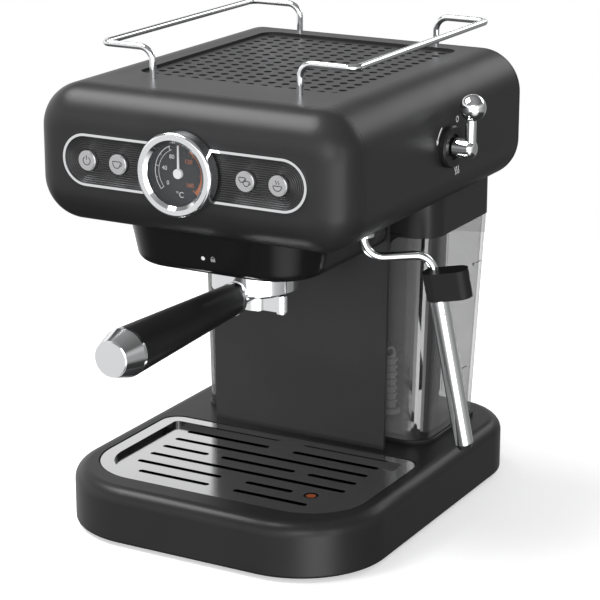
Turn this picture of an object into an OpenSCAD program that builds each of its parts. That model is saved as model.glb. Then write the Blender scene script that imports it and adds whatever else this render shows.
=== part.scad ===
// Espresso machine with a pump, a locking portafilter, a steam wand and a lift-out drip tray.
// Machine frame: x to the right, y to the rear, z up, z = 0 on the table. The group axis is at x = 0.

/* [Head] */
// Width of the head
head_w = 224; // [200:1:240]
// Front face of the head, measured along y
head_front_y = -76; // [-80:1:-74]
// Rear face of the head, measured along y
head_rear_y = 176; // [174:1:190]
// Height of the top of the head above the table
head_top_z = 295.8; // [290:0.2:300]
// Height of the underside of the head above the table
head_bottom_z = 208.5; // [205:0.5:210]
// Radius of the long edges of the head
head_r = 28; // [26:1:30]
// Radius round the front face
front_r = 23.5; // [20:0.5:24]
// Sheet thickness of the head
skin = 2.4; // [2:0.1:3]

/* [Base] */
// Width of the base
base_w = 222; // [210:1:230]
// Front face of the base, measured along y
base_front_y = -80; // [-85:1:-78]
// Rear face of the base, measured along y
base_rear_y = 193; // [188:1:200]
// Height of the top of the base above the table
base_top_z = 38.5; // [37:0.5:40]
// Gap that the feet leave under the base
foot_gap = 2; // [1:0.5:3]

/* [Column and tank] */
// Half width of the column at its top
col_top = 67; // [64:0.5:68]
// Half width of the column at its foot
col_foot = 65; // [62:0.5:66]
// Front face of the column, measured along y
col_front_y = 68; // [66:0.5:70]
// Half width of the tank at its top
tank_top = 90.5; // [88:0.5:92]
// Half width of the tank at its bottom
tank_foot = 86; // [84:0.5:88]

/* [Brewing group] */
// Distance of the group axis behind the machine's y = 0 plane
group_y = 11.5; // [10:0.5:14]
// Outer radius of the portafilter bowl
bowl_r = 28.5; // [28:0.1:29]
// Height of the handle's axis above the table
handle_z = 157.2; // [155:0.2:160]
// End of the handle, measured along y
handle_end_y = -158; // [-165:1:-150]

/* [Controls] */
// Half length of the front panel
panel_half = 86; // [84:0.5:87]
// Half height of the front panel
panel_r = 16.5; // [16:0.5:18]
// Distance of the outer buttons from the middle
button_far = 67.3; // [66:0.1:68]
// Distance of the inner buttons from the middle
button_near = 44.9; // [43:0.1:46]
// Radius of a button
button_r = 6.3; // [6:0.1:6.6]
// Radius of the gauge bezel
bezel_r = 26; // [25:0.5:27]

/* [Steam] */
// Position of the steam knob's axis along y
knob_y = 60; // [58:1:62]
// Position of the wand's swivel axis along x
wand_x = 77.8; // [76:0.2:79]
// Position of the wand's swivel axis along y
wand_y = 11.4; // [10:0.2:13]
// Direction of the wand seen from above, counted from +x
wand_turn = 39.8; // [36:0.2:44]
// Lean of the lower wand away from vertical
wand_lean = 10.7; // [8:0.1:12]
// Outer radius of the wand tube
wand_r = 2.8; // [2.5:0.1:3]

/* [Cup rails] */
// Half distance between the posts of the two rails
post_x = 52.5; // [50:0.5:56]
// Half distance between the outer runs of the two rails
rail_x = 90; // [86:0.5:92]
// Height of the rail's centre line above the table
rail_z = 315; // [310:0.5:320]
// Radius of the rail wire
rail_r = 2.1; // [2:0.1:2.5]

/* [Hidden] */
$fn = 64;
eps = 0.01;

head_mid_z = (head_top_z + head_bottom_z) / 2;
seam_y = head_front_y + front_r + 0.9;
rear_cap_d = 6.5;
ball_r = 8.5;
ball_x = head_w / 2 + 16.6;
box_x = [-head_w / 2, ball_x + ball_r];
box_y = [handle_end_y, base_rear_y];
bowl_z = [159.3, 198.5];
tank_z = [41.5, 182.3];
tray_y = [-57, 60];
tray_w = 194;
grid_z = 38;
grid_drop = 3.2;
coupler = [45, 85, 96];
pump_at = [coupler[0], 100, 245];
dark = [0.13, 0.13, 0.14];
steel = [0.8, 0.81, 0.82];

// ---------- shared shapes ----------

// Moves the machine so that the origin is under the middle of its outline
module placed() translate([-(box_x[0] + box_x[1]) / 2, -(box_y[0] + box_y[1]) / 2, 0]) children();

// Rounded rectangle of width w between y0 and y1, with front radius rf and rear radius rr
module rrect(w, y0, y1, rf, rr) {
  translate([-w / 2, y0 + rf]) square([w, y1 - y0 - rf - rr]);
  translate([-w / 2 + rf, y0]) square([w - 2 * rf, rf]);
  translate([-w / 2 + rr, y1 - rr]) square([w - 2 * rr, rr]);
  for (s = [-1, 1]) {
    translate([s * (w / 2 - rf), y0 + rf]) circle(rf);
    translate([s * (w / 2 - rr), y1 - rr]) circle(rr);
  }
}

// The rounded rectangle from z0 to z1
module plate(w, y0, y1, rf, rr, z0, z1)
  translate([0, 0, z0]) linear_extrude(z1 - z0) rrect(w, y0, y1, rf, rr);

// Sweeps a profile round a rounded rectangle. The profile's x runs from -t to 0 at the outline.
module edge_ring(w, y0, y1, rf, rr) {
  for (s = [0, 1]) mirror([s, 0, 0]) {
    translate([w / 2 - rf, y0 + rf, 0]) rotate([0, 0, -90])
      rotate_extrude(angle = 90) translate([rf, 0]) children();
    translate([w / 2 - rr, y1 - rr, 0])
      rotate_extrude(angle = 90) translate([rr, 0]) children();
    translate([w / 2, y1 - rr, 0]) rotate([90, 0, 0])
      linear_extrude(y1 - rr - y0 - rf) children();
  }
  translate([w / 2 - rf, y0, 0]) rotate([90, 0, -90]) linear_extrude(w - 2 * rf) children();
  translate([-(w / 2 - rr), y1, 0]) rotate([90, 0, 90]) linear_extrude(w - 2 * rr) children();
}

// Edge profile of thickness t from z0 to z1, rounded outside by r0 below and r1 above
module edge(t, z0, z1, r0, r1) {
  translate([-t, z0 + r0]) square([t, z1 - z0 - r0 - r1]);
  translate([-t, z0]) square([t - r0, r0]);
  translate([-t, z1 - r1]) square([t - r1, r1]);
  translate([-r0, z0 + r0]) circle(r0);
  translate([-r1, z1 - r1]) circle(r1);
}

// Rounded slab: a swept edge round a flat middle
module slab(w, y0, y1, rf, rr, t, z0, z1, r0, r1) {
  edge_ring(w, y0, y1, rf, rr) edge(t, z0, z1, r0, r1);
  plate(w - 2 * t, y0 + t, y1 - t, rf - t, rr - t, z0, z1);
}

// Turns plan shapes to face the front: plan y becomes z, and height z becomes -y
module facing() rotate([90, 0, 0]) children();

// Slot outline with round ends between x0 and x1
module slot(x0, x1, r) {
  translate([x0 + r, -r]) square([x1 - x0 - 2 * r, 2 * r]);
  translate([x0 + r, 0]) circle(r);
  translate([x1 - r, 0]) circle(r);
}

module along_x(x0, x1, r) translate([x0, 0, 0]) rotate([0, 90, 0]) cylinder(h = x1 - x0, r = r);
module along_y(y0, y1, r) translate([0, y1, 0]) rotate([90, 0, 0]) cylinder(h = y1 - y0, r = r);
module along_z(z0, z1, r) translate([0, 0, z0]) cylinder(h = z1 - z0, r = r);

// Quarter bend of bend radius b and tube radius r, from the x axis to the y axis
module bend(b, r, angle = 90) rotate_extrude(angle = angle) translate([b, 0]) circle(r);

// Stands a bend up in the yz plane: plan x becomes z
module upright() rotate([0, -90, 0]) children();

// Ring of outer radius r
module tube(r, wall) {
  difference() {
    circle(r);
    circle(r - wall);
  }
}

// ---------- base ----------

screw_spots = [for (s = [-1, 1]) each [[s * 50, base_front_y + 10, 0], [s * 94, base_rear_y - 40, 0]]];
foot_spots = [for (x = [-78, 78], y = [-30, 160]) [x, y, 0]];

// Well of the drip tray, smaller all round by a, from z0 to z1
module tray_well(a, z0, z1)
  plate(tray_w + 2 - 2 * a, tray_y[0] - 1 + a, tray_y[1] + 1 - a, 41 - a, 13 - a, z0, z1);

module base_outer() slab(base_w, base_front_y, base_rear_y, 60, 45, 12, foot_gap, base_top_z, 2, 9);

module base_shell() color([0.1, 0.1, 0.11]) placed() difference() {
  union() {
    difference() {
      base_outer();
      plate(base_w - 6.5, base_front_y + 3.25, base_rear_y - 3.25, 56.75, 41.75, -1, 5.1);
      plate(base_w - 14, tray_y[1] + 8, base_rear_y - 7, 8, 38, 5, base_top_z - 3);
    }
    for (p = screw_spots) translate(p) along_z(5.1, base_top_z - 2, 4.4);
  }
  tray_well(0, 4, base_top_z + 1);
  for (p = screw_spots) translate(p) along_z(0, 22, 1.7);
  translate([-60, 0, 18]) along_y(base_rear_y - 8, base_rear_y + 1, 7);
}

// Bottom of the base with the raised floor that the drip tray stands on
module bottom_plate() color([0.15, 0.15, 0.15]) placed() difference() {
  union() {
    plate(base_w - 7, base_front_y + 3.5, base_rear_y - 3.5, 56.5, 41.5, foot_gap + 0.5, 4.9);
    tray_well(0.2, 4, 7.5);
  }
  for (p = screw_spots) translate(p) along_z(0, 22, 1.9);
  for (p = foot_spots) translate(p) along_z(0, 3.5, 9.1);
}

module feet() color([0.08, 0.08, 0.08]) placed() for (p = foot_spots) translate(p) {
  along_z(0, 3.5, 9);
}

module base_screws() color(steel) placed() for (p = screw_spots) translate(p) {
  along_z(3, 18, 1.65);
  along_z(foot_gap - 0.6, foot_gap + 0.5, 3.2);
  along_z(foot_gap - 0.6, 3, 1.65);
}

module tank_pad() color(dark) placed()
  slab(176, 86, 169, 17, 10, 4, base_top_z, tank_z[0] - 0.3, 0.1, 1);

// ---------- drip tray ----------

module drip_tray() color(dark) placed() difference() {
  plate(tray_w + 1, tray_y[0] - 0.5, tray_y[1] + 0.5, 40.5, 12.5, 7.8, grid_z - 1.5);
  plate(tray_w - 4, tray_y[0] + 2, tray_y[1] - 2, 38, 10, 10, grid_z);
}

slot_r = 2.2;
slot_pitch = 15.68;
slot_y0 = -34.6;
// Slot stretches of each row, from the front row to the rear row
slot_rows = [
  [[-63, -9.3], [9.3, 63]],
  [[-73.7, -9.3], [9.3, 44]],
  [[-73.7, 73.7]],
  [[-73.7, -38], [-28, 28], [38, 73.7]],
  [[-73.7, 73.7]],
  [[-73.7, -9.3], [9.3, 73.7]]];
float_at = [57.5, slot_y0 + slot_pitch, 0];

module drip_grid() color(steel) placed() difference() {
  union() {
    plate(tray_w, tray_y[0], tray_y[1], 40, 12, grid_z - 1.2, grid_z);
    plate(tray_w - 16, tray_y[0] + 8, tray_y[1] - 7, 32, 5, grid_z - grid_drop - 1.2, grid_z - 1);
  }
  plate(tray_w - 18.4, tray_y[0] + 9.2, tray_y[1] - 8.2, 30.8, 3.8, grid_z - grid_drop, grid_z + 1);
  for (i = [0 : len(slot_rows) - 1], run = slot_rows[i])
    translate([0, slot_y0 + i * slot_pitch, grid_z - 5]) linear_extrude(5) slot(run[0], run[1], slot_r);
  translate(float_at) along_z(grid_z - 5, grid_z, 4.8);
}

module float() color([0.75, 0.15, 0.05]) placed() translate(float_at) {
  along_z(10.3, 25.5, 9);
  along_z(25.5, grid_z - grid_drop - 0.2, 3.9);
}

// ---------- column and tank ----------

// Outline of the column seen from the front, inset by a
module col_outline(a) polygon([
  [-col_foot + a, base_top_z], [col_foot - a, base_top_z],
  [col_top - a, head_bottom_z], [-col_top + a, head_bottom_z]]);

// Depth and inset of the duct behind the front sheet, where it starts and where it ends
duct = [[col_front_y + 2, 1.5], [84, 9]];

// Duct that narrows to the rear, with its sides moved in by a
module duct_solid(a) hull() for (s = duct)
  facing() translate([0, 0, -s[0]]) linear_extrude(eps) col_outline(s[1] + a);

module column_panel() color([0.16, 0.16, 0.17]) placed() difference() {
  union() {
    facing() translate([0, 0, -col_front_y - 3]) linear_extrude(3) col_outline(0);
    duct_solid(0);
  }
  translate([0, 1, 0]) duct_solid(2.5);
}

module column_back() color(dark) placed() difference() {
  facing() translate([0, 0, -84]) linear_extrude(2.4) col_outline(duct[1][1] + 2.1);
  translate([coupler[0], 0, coupler[2]]) along_y(80, 86, 7);
}

// Outline of the tank, grown by a, at its top (k = 0) or at its bottom (k = 1)
module tank_outline(k, a)
  rrect(2 * (k == 0 ? tank_top : tank_foot) + 2 * a, 85 - a, (k == 0 ? 175.5 : 167) + a,
    (k == 0 ? 18 : 16) + a, 8 + a);

module tank_solid(z0, z1, a) hull() {
  translate([0, 0, z1 - eps]) linear_extrude(eps) tank_outline(0, a);
  translate([0, 0, z0]) linear_extrude(eps) tank_outline(1, a);
}

module tank() color([0.3, 0.3, 0.3, 0.5]) placed() difference() {
  union() {
    tank_solid(tank_z[0], tank_z[1], 0, $fn = 48);
    intersection() {
      tank_solid(tank_z[0], tank_z[1], 1.4, $fn = 48);
      translate([-60, 150, 50]) cube([120, 40, 118]);
    }
  }
  tank_solid(tank_z[0] + 3, tank_z[1] + 1, -2.2, $fn = 48);
  translate([coupler[0], 0, coupler[2]]) along_y(80, 92, 6);
}

// Pick-up hose with ribs, hung from the coupler inside the tank
module tank_hose() color([0.1, 0.1, 0.1]) placed() translate([coupler[0], 0, 0]) {
  hose_y = 118;
  top = coupler[2];
  translate([0, hose_y - 9, top - 9]) upright() bend(9, 3.5);
  translate([0, hose_y, 0]) {
    along_z(50, top - 9, 3.5);
    for (z = [54 : 5 : top - 12]) along_z(z, z + 2.4, 4.6);
    along_z(46.5, 50.5, 6.5);
  }
  translate([0, 0, top]) {
    along_y(92.9, hose_y - 9, 3.5);
    along_y(87.2, 93, 5.9);
    along_y(84.9, 87.3, 5.9);
    along_y(77, 85, 3.95);
  }
}

collar_z = tank_z[1] + 0.5;
corner_r = 9;

// Rounded corner that carries the collar down to the column
module collar_corner() facing() translate([0, 0, -84.6]) linear_extrude(1.4) difference() {
  translate([58.8, collar_z - corner_r]) square([corner_r + 1, corner_r + 1.5]);
  translate([58.8 + corner_r + 1.2, collar_z - corner_r]) circle(corner_r);
}

module collar() color([0.12, 0.12, 0.13]) placed() {
  difference() {
    plate(2 * tank_top + 1, 84.3, 176, 18, 8, collar_z, head_bottom_z);
    plate(2 * tank_top - 5, 87.3, 173, 15, 5, collar_z - 1, head_bottom_z - 3);
  }
  for (s = [0, 1]) mirror([s, 0, 0]) collar_corner();
}

// ---------- head ----------

module head_section(a) rrect(head_w - 2 * a, head_bottom_z + a, head_top_z - a, head_r - a, head_r - a);

warm_w = 148;
warm_y = [-12, 157];
post_y = [-24.5, 165];

// Length of the head's section between y0 and y1, inset by a
module head_run(a, y0, y1) facing() translate([0, 0, -y1]) linear_extrude(y1 - y0) head_section(a);

// Lip inside the section, from inset a to inset b
module head_lip(a, b, y0, y1) difference() {
  head_run(a, y0, y1);
  head_run(b, y0 - 1, y1 + 1);
}

sleeve_end_y = head_rear_y - rear_cap_d;
rear_spots = [for (x = [-104, 104], z = [-20, 20]) [x, 0, head_mid_z + z]];

module head_sleeve() color([0.12, 0.12, 0.13]) placed() difference() {
  union() {
    difference() {
      head_run(0, seam_y, sleeve_end_y);
      head_run(skin, seam_y - 1, sleeve_end_y + 1);
    }
    for (p = rear_spots) translate(p) along_y(sleeve_end_y - 14, sleeve_end_y, 5.2);
  }
  for (p = rear_spots) translate(p) along_y(sleeve_end_y - 12, sleeve_end_y + 1, 1.75);
  plate(warm_w, warm_y[0], warm_y[1], 10, 10, head_top_z - 4, head_top_z + 1);
  for (x = [-post_x, post_x], y = post_y)
    translate([x, y, 0]) along_z(head_top_z - 4, head_top_z + 1, rail_r + 0.1);
  translate([0, knob_y, head_mid_z + 1.2]) along_x(head_w / 2 - 5, head_w / 2 + 1, 9.5);
  plate(112, -34, 58, 26, 8, head_bottom_z - 1, head_bottom_z + 4);
  translate([wand_x, wand_y, 0]) along_z(head_bottom_z - 1, head_bottom_z + 4, 6.1);
  translate([coupler[0], 76.5, 0]) along_z(head_bottom_z - 1, head_bottom_z + 4, 5);
}

// Front cap in plan: its height is towards the front
module cap_solid(a) {
  top = -head_front_y - a;
  t = head_r - a - 2;
  edge_ring(head_w - 2 * a, head_bottom_z + a, head_top_z - a, head_r - a, head_r - a)
    cap_edge(t, -seam_y + 0.3, top, front_r - a);
  plate(head_w - 2 * a - 2 * t, head_bottom_z + a + t, head_top_z - a - t, 2, 2, -seam_y + 0.3, top);
}

// Edge profile of thickness t from z0 to z1, rounded outside above only
module cap_edge(t, z0, z1, r) {
  translate([-t, z0]) square([t, z1 - r - z0]);
  intersection() {
    translate([-r, z1 - r]) circle(r);
    translate([-r, z1 - r]) square([r, r]);
  }
  translate([-t, z1 - r]) square([t - r, r]);
}

// Outline of the front panel, inset by a
module panel_outline(a) slot(-panel_half + a, panel_half - a, panel_r - a);

// Gives a shape on the front panel its depth from y0 to y1
module panel_at(y0, y1) translate([0, 0, head_mid_z]) facing() translate([0, 0, -y1])
  linear_extrude(y1 - y0) children();

module front_cap() color([0.14, 0.14, 0.15]) placed() {
  difference() {
    facing() cap_solid(0);
    facing() translate([0, 0, -1]) cap_solid(skin);
    panel_at(-90, -60) panel_outline(-0.1);
    panel_at(-90, -60) circle(24.2);
  }
  head_lip(skin + 0.05, skin + 1.6, seam_y - 2.8, seam_y + 5);
  head_lip(skin - 0.6, skin + 1.2, seam_y - 2.8, seam_y - 0.5);
}

module rear_cap() color([0.12, 0.12, 0.13]) placed() difference() {
  union() {
    mirror([0, 1, 0]) facing() {
      edge_ring(head_w, head_bottom_z, head_top_z, head_r, head_r)
        cap_edge(12, sleeve_end_y + 0.3, head_rear_y, 5.5);
      plate(head_w - 24, head_bottom_z + 12, head_top_z - 12, head_r - 12, head_r - 12,
        sleeve_end_y + 0.3, head_rear_y);
    }
    intersection() {
      head_lip(skin + 0.05, skin + 1.6, sleeve_end_y - 5, sleeve_end_y + 1);
      translate([-80, sleeve_end_y - 10, head_bottom_z]) cube([160, 20, 40]);
    }
  }
  head_run(12, sleeve_end_y - 1, head_rear_y - 3);
  for (i = [-4 : 4], x = [-40, 40])
    translate([x, head_rear_y - 10, head_mid_z + i * 6 - 1.2]) translate([-25, 0, 0]) cube([50, 12, 2.4]);
  for (p = rear_spots) translate(p) along_y(sleeve_end_y, head_rear_y + 1, 1.8);
}

module rear_screws() color(steel) placed() for (p = rear_spots) translate(p) {
  along_y(head_rear_y - 12, head_rear_y, 1.7);
  along_y(head_rear_y, head_rear_y + 1.4, 3.2);
}

// Top of the raised field inside the opening of the head
shelf_z = head_top_z - skin + 0.5;
hole_pitch = 10.05;
hole_r = 2.75;

module warmer_plate() color([0.35, 0.35, 0.36]) placed() difference() {
  union() {
    plate(warm_w + 10, warm_y[0] - 5, warm_y[1] + 4, 12, 12, head_top_z - skin - 1.5, head_top_z - skin);
    plate(warm_w - 0.8, warm_y[0] + 0.4, warm_y[1] - 0.4, 9.6, 9.6, head_top_z - skin - 1, shelf_z);
  }
  for (i = [-6.5 : 6.5], j = [0 : 15])
    translate([i * hole_pitch, warm_y[1] - 9.5 - j * hole_pitch, 0])
      along_z(head_top_z - 6, head_top_z, hole_r);
}

module warmer_pan() color([0.2, 0.2, 0.2]) placed() difference() {
  plate(warm_w + 8, warm_y[0] - 4, warm_y[1] + 3, 12, 12, head_top_z - skin - 8, head_top_z - skin - 1.5);
  plate(warm_w + 5, warm_y[0] - 2.5, warm_y[1] + 1.5, 10, 10, head_top_z - skin - 7, head_top_z);
}

post_bend = 9;
rail_bend = 6;

// One rail on the +x side: two posts, two short arms and the long outer run
module rail() {
  for (y = post_y) translate([post_x, y, 0]) {
    along_z(head_top_z - 9, rail_z - post_bend, rail_r);
    translate([post_bend, 0, rail_z - post_bend]) rotate([90, 0, 0]) rotate([0, 0, 90])
      bend(post_bend, rail_r);
    translate([0, 0, rail_z]) along_x(post_bend, rail_x - post_x - rail_bend, rail_r);
  }
  translate([rail_x - rail_bend, post_y[0] + rail_bend, rail_z]) rotate([0, 0, -90])
    bend(rail_bend, rail_r);
  translate([rail_x - rail_bend, post_y[1] - rail_bend, rail_z]) bend(rail_bend, rail_r);
  translate([rail_x, 0, rail_z]) along_y(post_y[0] + rail_bend, post_y[1] - rail_bend, rail_r);
}

module rail_right() color(steel) placed() rail();
module rail_left() color(steel) placed() mirror([1, 0, 0]) rail();

module rail_nuts() color(steel) placed() for (x = [-post_x, post_x], y = post_y)
  translate([x, y, head_top_z - skin - 3.5]) linear_extrude(3.5) difference() {
    circle(4.2, $fn = 6);
    circle(rail_r);
  }

// ---------- front panel ----------

button_spots = [-button_far, -button_near, button_near, button_far];

module fascia() color([0.07, 0.07, 0.08]) placed() panel_at(-75.2, -73) difference() {
  panel_outline(1.6);
  circle(24.2);
  for (x = button_spots) translate([x, 0]) circle(button_r + 0.25);
}

module panel_trim() color(steel) placed() panel_at(-77, -73) difference() {
  panel_outline(0);
  panel_outline(1.6);
  circle(24.2);
}

// A button: a round cap with a stem that reaches its switch
module button(x) placed() translate([x, 0, head_mid_z]) {
  along_y(-78.6, -72, button_r - 0.6);
  along_y(-78, -72, button_r);
  along_y(-72, -64.3, 2);
}

module button_power() color(steel) button(button_spots[0]);
module button_single() color(steel) button(button_spots[1]);
module button_double() color(steel) button(button_spots[2]);
module button_steam() color(steel) button(button_spots[3]);

// Board behind the buttons with one small switch for each
module button_board() color([0.05, 0.3, 0.15]) placed() {
  panel_at(-60, -58.4) difference() {
    translate([-80, -12]) square([160, 24]);
    circle(24.5);
  }
  for (x = button_spots) translate([x - 3, -61.5, head_mid_z - 3]) cube([6, 1.5, 6]);
}

module gauge_barrel() color([0.08, 0.08, 0.08]) placed() translate([0, 0, head_mid_z]) facing()
  difference() {
    along_z(58, 83, 24);
    along_z(60, 84, 22);
  }

module gauge_bezel() color(steel) placed() translate([0, 0, head_mid_z]) facing()
  rotate_extrude() {
    translate([24.05, 77.2]) square([bezel_r - 24.05, 7.3]);
    polygon([[19.4, 84.4], [24.5, 84.4], [24.5, 86.4], [21.5, 86.4], [19.4, 84.7]]);
    translate([22.4, 83.1]) square([bezel_r - 22.4, 1.4]);
    translate([24.1, 84.5]) intersection() {
      circle(1.9);
      square(2);
    }
  }

module gauge_dial() color([0.1, 0.1, 0.1]) placed() translate([0, 0, head_mid_z]) facing()
  difference() {
    along_z(77.6, 78.6, 21.9);
    along_z(77, 79, 1.06);
  }

module gauge_glass() color([0.9, 0.95, 1, 0.3]) placed() translate([0, 0, head_mid_z]) facing()
  along_z(83.1, 84.3, 22.3);

// Needle with its hub and the pin that carries it
module gauge_needle() color([0.9, 0.9, 0.9]) placed() translate([0, 0, head_mid_z]) facing() {
  along_z(72, 80, 1);
  along_z(79.4, 81.4, 3);
  translate([0, 0, 79.8]) linear_extrude(0.8) polygon([[-0.7, 0], [0.7, 0], [0.45, 17.2], [-0.45, 17.2]]);
}

module control_board() color([0.05, 0.3, 0.15]) placed() {
  translate([-100, 20, 228]) cube([1.6, 110, 50]);
  translate([-98.4, 40, 240]) cube([12, 24, 20]);
  translate([-98.4, 80, 236]) cube([16, 18, 28]);
}

// ---------- brewing group ----------

housing_z = 180.6;
housing_rake = 5.5;
housing_w = 140;
housing_y = [-54, 84];
housing_fillet = 7;

// Edge of the housing: a raked wall that rounds into the underside
module housing_edge(t) {
  h = head_bottom_z - housing_z;
  a = atan(housing_rake / h);
  cx = -housing_rake + housing_fillet * (tan(a) - 1 / cos(a));
  cz = housing_z + housing_fillet;
  polygon([[-t, housing_z], [cx, housing_z], [cx + housing_fillet * cos(a), cz - housing_fillet * sin(a)],
    [0, head_bottom_z], [-t, head_bottom_z]]);
  translate([cx, cz]) circle(housing_fillet);
}

module group_housing() color([0.11, 0.11, 0.12]) placed() difference() {
  union() {
    edge_ring(housing_w, housing_y[0], housing_y[1], 38, 20) housing_edge(18);
    plate(housing_w - 36, housing_y[0] + 18, housing_y[1] - 18, 20, 2, housing_z, head_bottom_z);
  }
  plate(108, -34, 58, 26, 8, housing_z + 3, head_bottom_z + 1);
  translate([0, group_y, 0]) along_z(housing_z - 1, housing_z + 4, 36);
  facing() translate([0, 0, -90]) linear_extrude(90 - col_front_y + 0.2) translate([-100, 150]) square([200, 80]);
}

// Puts a shape on the axis of the group
module at_group() translate([0, group_y, 0]) children();

ear_z = [190.2, 193.6];
ear_r = 32.6;
unlock = -45;

// Wedge of half angle a, used to cut and to keep sectors
module sector(a, r) polygon([[0, 0], [r * cos(a), -r * sin(a)], [1.5 * r, 0], [r * cos(a), r * sin(a)]]);

// Head of the group with the plate that rests on the floor of the machine's head
module group_head() color([0.72, 0.6, 0.35]) placed() at_group() difference() {
  union() {
    along_z(housing_z + 0.2, head_bottom_z + 6, 35.7);
    plate(124, -51.5, 52.5, 20, 12, head_bottom_z + skin, head_bottom_z + 6);
  }
  along_z(housing_z - 1, ear_z[0] - 0.4, bowl_r + 0.7);
  along_z(ear_z[0] - 0.4, 196, ear_r + 0.8);
  along_z(195.9, 206.5, 30);
  rotate([0, 0, unlock]) for (s = [0, 180]) rotate([0, 0, s])
    translate([0, 0, housing_z - 1]) linear_extrude(ear_z[0] - housing_z + 1.4) intersection() {
      circle(ear_r + 0.8);
      sector(22, 40);
    }
}

module group_gasket() color([0.25, 0.1, 0.08]) placed() at_group() translate([0, 0, 199.7])
  linear_extrude(6.7) tube(29.9, 5.4);

module shower_screen() color(steel) placed() at_group() difference() {
  union() {
    along_z(200.5, 206.5, 24);
    along_z(199.3, 200.5, 23);
    along_z(198.2, 199.4, 3);
  }
  for (ring = [1 : 3], k = [0 : 6 * ring - 1])
    rotate([0, 0, k * 60 / ring]) translate([ring * 6, 0, 0]) along_z(199, 203, 0.9);
}

boiler_z = [head_bottom_z + 6, 262];

module boiler() color([0.7, 0.7, 0.7]) placed() at_group() difference() {
  union() {
    along_z(boiler_z[0], boiler_z[1], 34);
    along_z(boiler_z[0], boiler_z[0] + 5, 38);
  }
  along_z(boiler_z[0] + 5, boiler_z[1] + 1, 30);
}

module boiler_cap() color([0.6, 0.6, 0.6]) placed() at_group() {
  along_z(boiler_z[1], boiler_z[1] + 5, 38);
  for (a = [45 : 90 : 315]) rotate([0, 0, a]) translate([33.5, 0, 0]) along_z(boiler_z[1] + 5, boiler_z[1] + 9, 3);
  translate([-12, 0, 0]) along_z(boiler_z[1] + 5, boiler_z[1] + 10, 7);
  translate([14, 4, 0]) along_z(boiler_z[1] + 5, boiler_z[1] + 14, 4);
}

// ---------- portafilter ----------

module pf_body() color(steel) placed() at_group() difference() {
  union() {
    along_z(bowl_z[0], bowl_z[1], bowl_r);
    translate([0, 0, bowl_z[0] - 4]) cylinder(h = 4, r1 = 20, r2 = bowl_r - 1);
    translate([0, 0, ear_z[0]]) linear_extrude(ear_z[1] - ear_z[0]) for (s = [0, 180])
      rotate([0, 0, s]) intersection() {
        difference() {
          circle(ear_r);
          circle(bowl_r - 1);
        }
        sector(16, 40);
      }
    translate([0, 0, handle_z]) along_y(-29.5, -14, 7);
  }
  along_z(bowl_z[0] + 4, bowl_z[1] + 1, bowl_r - 1.8);
  along_z(bowl_z[0] - 5, bowl_z[0] + 5, 4);
}

module pf_basket() color(steel) placed() at_group() difference() {
  union() {
    along_z(bowl_z[1], bowl_z[1] + 0.9, bowl_r - 0.3);
    along_z(172, bowl_z[1] + 0.1, bowl_r - 2.1);
  }
  along_z(173, bowl_z[1] + 2, bowl_r - 3);
  for (ring = [0 : 3], k = [0 : max(0, 6 * ring - 1)])
    rotate([0, 0, ring == 0 ? 0 : k * 60 / ring]) translate([ring * 5.5, 0, 0]) along_z(171, 174, 0.8);
}

spout_x = 19;
spout_z = 144.2;

module pf_spout() color(steel) placed() at_group() difference() {
  union() {
    along_z(spout_z, bowl_z[0] - 4, 9);
    translate([-spout_x, -4.2, spout_z]) cube([2 * spout_x, 8.4, bowl_z[0] - 4.4 - spout_z]);
    for (s = [-1, 1]) translate([s * spout_x, 0, 0]) {
      along_z(spout_z, bowl_z[0] - 4.4, 4.3);
      along_z(spout_z - 1.6, spout_z, 3.2);
    }
  }
  along_z(150.5, bowl_z[0], 4);
  for (s = [-1, 1]) translate([s * spout_x, 0, 0]) along_z(spout_z - 2, 152, 2);
  translate([-spout_x, -1.8, 149.5]) cube([2 * spout_x, 3.6, 2.4]);
}

handle_y0 = -21;
handle_y1 = -141;

// Things turned about the handle's axis, with z pointing out of the machine
module at_handle() translate([0, 0, handle_z]) facing() children();

module pf_rings() color(steel) placed() at_handle() {
  along_z(18, 19.4, 10.6);
  along_z(19.4, 20, 9.6);
  along_z(20, 21, 10.6);
}

module pf_handle() color([0.05, 0.05, 0.05]) placed() at_handle()
  translate([0, 0, -handle_y0]) cylinder(h = handle_y0 - handle_y1, r1 = 10.3, r2 = 15);

module pf_cap() color(steel) placed() at_handle() {
  cap = -handle_y1;
  along_z(cap, cap + 2.5, 15.1);
  translate([0, 0, cap + 2.5]) cylinder(h = -handle_end_y - cap - 3.3, r1 = 15.1, r2 = 11.2);
  along_z(-handle_end_y - 0.8, -handle_end_y, 10.6);
}

// ---------- water path ----------

module pump() color([0.25, 0.25, 0.28]) placed() translate(pump_at) {
  along_y(8, 58, 19);
  along_y(0, 8, 6);
  along_y(58, 64, 12);
  translate([0, 30, 0]) along_x(-24, -17, 4);
}

module pump_mounts() color([0.1, 0.1, 0.1]) placed() for (y = [14, 46])
  translate([pump_at[0] - 16, pump_at[1] + y, head_bottom_z + skin]) difference() {
    cube([32, 6, pump_at[2] - head_bottom_z - skin - 6]);
    translate([16, -1, pump_at[2] - head_bottom_z - skin]) rotate([-90, 0, 0]) cylinder(h = 8, r = 19.2);
  }

hose_y = 76.5;

// From the tank's socket up inside the column to the pump
module suction_hose() color([0.8, 0.8, 0.8]) placed() translate([coupler[0], 0, 0]) {
  translate([0, 0, coupler[2]]) difference() {
    along_y(74, 83.9, 6.5);
    along_y(75.5, 86, 4);
  }
  translate([0, hose_y, 0]) along_z(coupler[2] + 6, pump_at[2] - 12, 3.2);
  translate([0, hose_y + 12, pump_at[2] - 12]) upright() rotate([0, 0, -90]) bend(12, 3.2);
  translate([0, 0, pump_at[2]]) along_y(hose_y + 12, pump_at[1], 3.2);
}

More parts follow.
